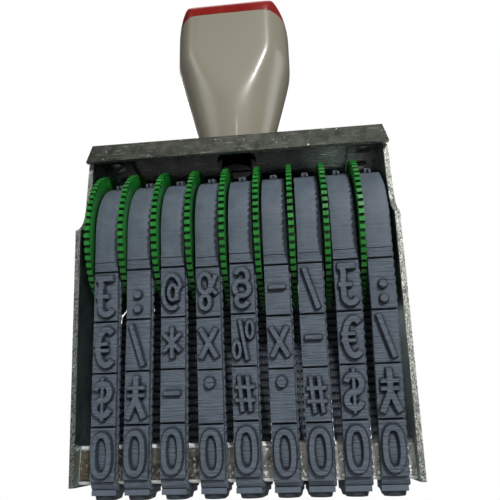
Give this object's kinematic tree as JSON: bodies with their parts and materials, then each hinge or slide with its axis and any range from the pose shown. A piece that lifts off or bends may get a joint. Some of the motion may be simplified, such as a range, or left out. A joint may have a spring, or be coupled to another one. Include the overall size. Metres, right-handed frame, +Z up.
{
  "type": "numbering band stamp",
  "caption": "Hand-held band stamp: rubber character bands over a platen bar, each turned by a toothed thumb wheel, in a steel frame with a moulded handle.",
  "frame": {"origin": "middle of the printing face, at the faces of the printing figures", "axes": "+Z up through the handle, +X along the wheel axle to the right hand, +Y to the rear"},
  "size_m": [0.0808, 0.0374, 0.1308],
  "materials": {
    "plated_steel": "zinc plated, scratched",
    "wheel_green": "satin moulded",
    "band_rubber": "matte moulded",
    "handle_ivory": "polished",
    "handle_red": "polished",
    "brass": "machined"
  },
  "bodies": {
    "stamp": {"side_plate_left": "plated_steel", "side_plate_right": "plated_steel", "top_bridge": "plated_steel", "platen_bar": "plated_steel", "platen_rivets_left": "plated_steel", "platen_rivets_right": "plated_steel", "bridge_rivets_left": "plated_steel", "bridge_rivets_right": "plated_steel", "axle": "plated_steel", "axle_clip_left": "plated_steel", "axle_clip_right": "plated_steel", "spacer_left": "plated_steel", "spacer_right": "plated_steel", "band_1": "band_rubber", "band_2": "band_rubber", "band_3": "band_rubber", "band_4": "band_rubber", "band_5": "band_rubber", "band_6": "band_rubber", "band_7": "band_rubber", "band_8": "band_rubber", "band_9": "band_rubber", "handle_body": "handle_ivory", "handle_cap": "handle_red", "handle_screw": "plated_steel", "handle_washer": "plated_steel", "handle_insert": "brass"},
    "wheel_1": {"thumb_wheel_1": "wheel_green"},
    "wheel_2": {"thumb_wheel_2": "wheel_green"},
    "wheel_3": {"thumb_wheel_3": "wheel_green"},
    "wheel_4": {"thumb_wheel_4": "wheel_green"},
    "wheel_5": {"thumb_wheel_5": "wheel_green"},
    "wheel_6": {"thumb_wheel_6": "wheel_green"},
    "wheel_7": {"thumb_wheel_7": "wheel_green"},
    "wheel_8": {"thumb_wheel_8": "wheel_green"},
    "wheel_9": {"thumb_wheel_9": "wheel_green"}
  },
  "joints": [
    {"name": "wheel_1_turn", "type": "hinge", "parent": "stamp", "child": "wheel_1", "pos_m": [-0.03455, 0, 0.06175], "axis": [1, 0, 0], "continuous": true},
    {"name": "wheel_2_turn", "type": "hinge", "parent": "stamp", "child": "wheel_2", "pos_m": [-0.02655, 0, 0.06175], "axis": [1, 0, 0], "continuous": true},
    {"name": "wheel_3_turn", "type": "hinge", "parent": "stamp", "child": "wheel_3", "pos_m": [-0.01855, 0, 0.06175], "axis": [1, 0, 0], "continuous": true},
    {"name": "wheel_4_turn", "type": "hinge", "parent": "stamp", "child": "wheel_4", "pos_m": [-0.01055, 0, 0.06175], "axis": [1, 0, 0], "continuous": true},
    {"name": "wheel_5_turn", "type": "hinge", "parent": "stamp", "child": "wheel_5", "pos_m": [-0.00255, 0, 0.06175], "axis": [1, 0, 0], "continuous": true},
    {"name": "wheel_6_turn", "type": "hinge", "parent": "stamp", "child": "wheel_6", "pos_m": [0.00545, 0, 0.06175], "axis": [1, 0, 0], "continuous": true},
    {"name": "wheel_7_turn", "type": "hinge", "parent": "stamp", "child": "wheel_7", "pos_m": [0.01345, 0, 0.06175], "axis": [1, 0, 0], "continuous": true},
    {"name": "wheel_8_turn", "type": "hinge", "parent": "stamp", "child": "wheel_8", "pos_m": [0.02145, 0, 0.06175], "axis": [1, 0, 0], "continuous": true},
    {"name": "wheel_9_turn", "type": "hinge", "parent": "stamp", "child": "wheel_9", "pos_m": [0.02945, 0, 0.06175], "axis": [1, 0, 0], "continuous": true}
  ]
}
